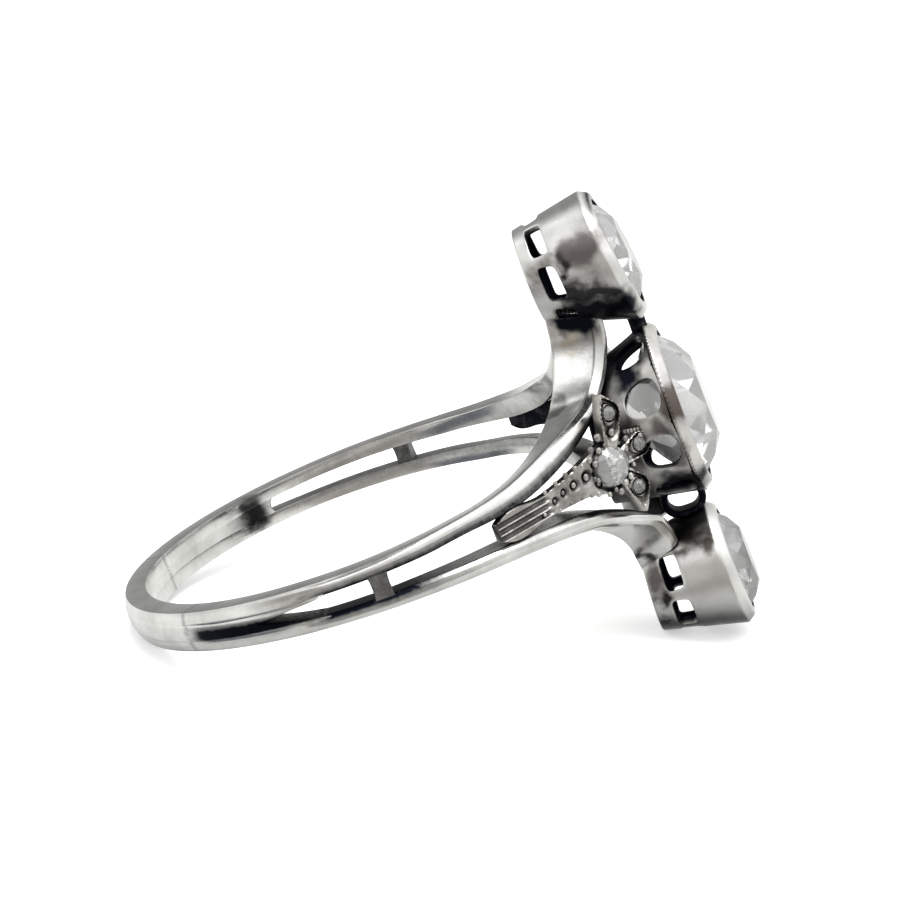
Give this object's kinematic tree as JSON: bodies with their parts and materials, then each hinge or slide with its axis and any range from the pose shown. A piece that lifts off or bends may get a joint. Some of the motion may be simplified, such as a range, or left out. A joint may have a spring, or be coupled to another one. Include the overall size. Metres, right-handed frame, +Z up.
{
  "type": "three-stone diamond ring",
  "caption": "Antique finger ring of soldered platinum wires with round old-cut diamonds in a row along the finger, in pierced collets, and fluted shoulders with rose-cut leaf settings.",
  "frame": {"origin": "on the surface that the ring lies on, under the middle of its box", "axes": "+X from the back of the band towards the head with its stones, +Y across the finger hole away from the nearer shoulder, +Z up; the finger axis leans back from +Z by the angle at which the ring lies"},
  "size_m": [0.0242, 0.019, 0.0168],
  "materials": {
    "platinum": "polished platinum with age-softened edges and grey-brown tarnish in the recesses",
    "diamond": "clear old-cut and rose-cut diamond"
  },
  "bodies": {
    "root": {"mount": "platinum", "stone_top": "diamond", "stone_centre": "diamond", "stone_low": "diamond", "rose_near": "diamond", "rose_far": "diamond", "leaf_near_up": "diamond", "leaf_near_down": "diamond", "leaf_near_in": "diamond", "leaf_far_up": "diamond", "leaf_far_down": "diamond", "leaf_far_in": "diamond"}
  },
  "joints": []
}
